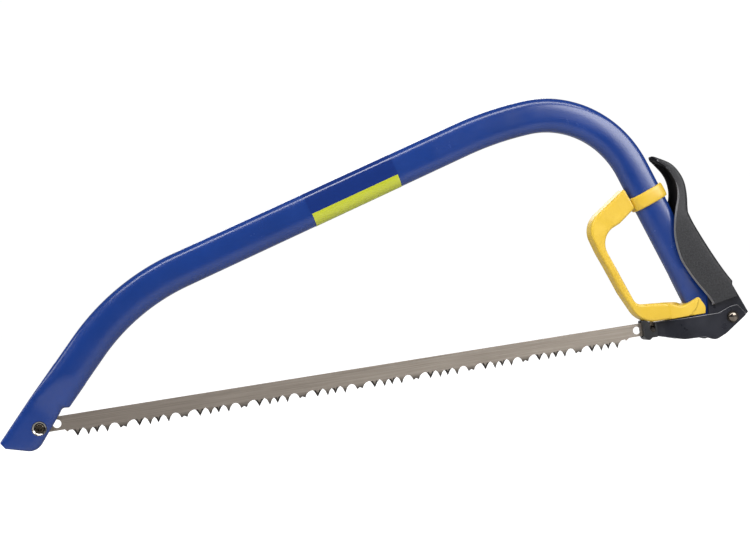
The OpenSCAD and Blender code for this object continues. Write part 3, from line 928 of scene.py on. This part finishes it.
# These nodes keep their CAD shapes and only get a finish.
LOOKS = {"plated_steel": PLATED, "black_coat": BLACK}
slots = {s["node"]: s["material_slot"] for s in frame["record"]["subparts"]}
for name in ("front_nut", "pivot_sleeve", "blade_pin", "pin_collar_near", "pin_collar_far",
             "lever_pivot_pin", "rivet_washer_near", "rivet_washer_far"):
    node = frame["nodes"][name]
    node.data.materials.clear()
    # The rivet's washers and the pins get a painted shade: the dark of the gap round the rivet and of the notch
    # round the pin.
    dark = "rivet_washer" in name or "pin" in name
    node.data.materials.append(SHADE_DARK_STEEL if dark else LOOKS[slots[name]])

# ---------------------------------------------------------------- floor, light, camera
FLOOR_SIZE, FLOOR_Z = 60, -0.2  # in metres: the floor lies below the reach of the opened lever
bpy.ops.mesh.primitive_plane_add(size=1)
floor = bpy.context.object
floor.name = "floor"
floor.scale = (FLOOR_SIZE, FLOOR_SIZE, 1)
floor.location.z = FLOOR_Z
# The floor glows white to the camera, and is a plain pale grey to everything else.
fm, fn, fl, fs, fc = material("floor_white", (0.9, 0.9, 0.9), 0.9, specular=0.0)
fl.new(two_tone(fn, fl, noise(fn, fl, fc.outputs["Object"], 3, 2), (0.5, 0.5, 0.5),
                (0.52, 0.52, 0.52)), fs.inputs["Base Color"])
fs.inputs["Emission Color"].default_value = (1, 1, 1, 1)
seen = fn.new("ShaderNodeLightPath").outputs["Is Camera Ray"]
fl.new(remap(fn, fl, seen, 0, 1, 0, 0.95), fs.inputs["Emission Strength"])
floor.data.materials.append(fm)

# The background is plain white, and the light that it throws is a dim studio, brighter behind.
world = bpy.context.scene.world or bpy.data.worlds.new("world")
bpy.context.scene.world = world
world.use_nodes = True
wn, wl = world.node_tree.nodes, world.node_tree.links
wn.clear()
studio = wn.new("ShaderNodeBackground")
white = wn.new("ShaderNodeBackground")
white.inputs["Color"].default_value = (1, 1, 1, 1)
white.inputs["Strength"].default_value = 1.02
both = wn.new("ShaderNodeMixShader")
rays = wn.new("ShaderNodeLightPath")
out = wn.new("ShaderNodeOutputWorld")
wc = wn.new("ShaderNodeTexCoord")
ws = wn.new("ShaderNodeSeparateXYZ")
wl.new(wc.outputs["Generated"], ws.inputs["Vector"])
shades = ramp(wn, wl, ws.outputs["Y"], [(0.0, (0.09, 0.09, 0.1)), (0.55, (0.14, 0.14, 0.15)),
                                        (0.9, (0.6, 0.6, 0.6))])
wl.new(shades, studio.inputs["Color"])
wl.new(rays.outputs["Is Camera Ray"], both.inputs["Fac"])
wl.new(studio.outputs["Background"], both.inputs[1])
wl.new(white.outputs["Background"], both.inputs[2])
wl.new(both.outputs["Shader"], out.inputs["Surface"])


def panel(name, place, aim, size, power):
    """A rectangular lamp in metres and watts, turned towards its aim."""
    light = bpy.data.lights.new(name, "AREA")
    light.shape = "RECTANGLE"
    light.size, light.size_y = size
    light.energy = power
    obj = bpy.data.objects.new(name, light)
    obj.location = place
    obj.rotation_euler = (Vector(aim) - Vector(place)).to_track_quat("-Z", "Y").to_euler()
    bpy.context.scene.collection.objects.link(obj)
    return obj


panel("top_soft", (0.1, -0.95, 1.45), (0.05, 0, 0.15), (2.6, 0.26), 20)
# The key only brightens the surfaces: the photo shows no reflection of it in the paint.
key = panel("key_left", (-1.4, -1.35, 1.15), (0, 0, 0.1), (1.1, 1.1), 38)
key.visible_glossy = False
panel("edge_left", (-2.2, -0.35, 1.3), (-0.1, 0, 0.1), (0.7, 0.5), 5)
panel("bend_soft", (1.2, -1.05, 0.66), (0.2, 0, 0.12), (1.0, 0.8), 18)
panel("rear_soft", (0.3, 2.0, 1.5), (0, 0, 0.1), (1.6, 1.0), 22)

# The camera's place, turn, roll and lens are those that the photo was taken with, as measured.
EYE = at(122.9, 83.5, 900)
TURN, ROLL = math.radians(-10.46), math.radians(-8.19)
FOCAL_PIXELS, WIDTH_PIXELS, SENSOR = 1073, 750, 36
ahead = Vector((math.sin(-TURN), math.cos(TURN), 0))
level = Vector((math.cos(TURN), math.sin(TURN), 0))
up = Vector((0, 0, 1))
right = level * math.cos(ROLL) + up * math.sin(ROLL)
above = -level * math.sin(ROLL) + up * math.cos(ROLL)
cam = bpy.data.cameras.new("camera")
cam.sensor_width = SENSOR
cam.lens = FOCAL_PIXELS / WIDTH_PIXELS * SENSOR
cam.clip_start = 0.01
cam_obj = bpy.data.objects.new("camera", cam)
pose = Matrix((right, above, -ahead)).transposed().to_4x4()
pose.translation = EYE
cam_obj.matrix_world = pose
bpy.context.scene.collection.objects.link(cam_obj)
bpy.context.scene.camera = cam_obj
bpy.context.scene.view_settings.view_transform = "Standard"
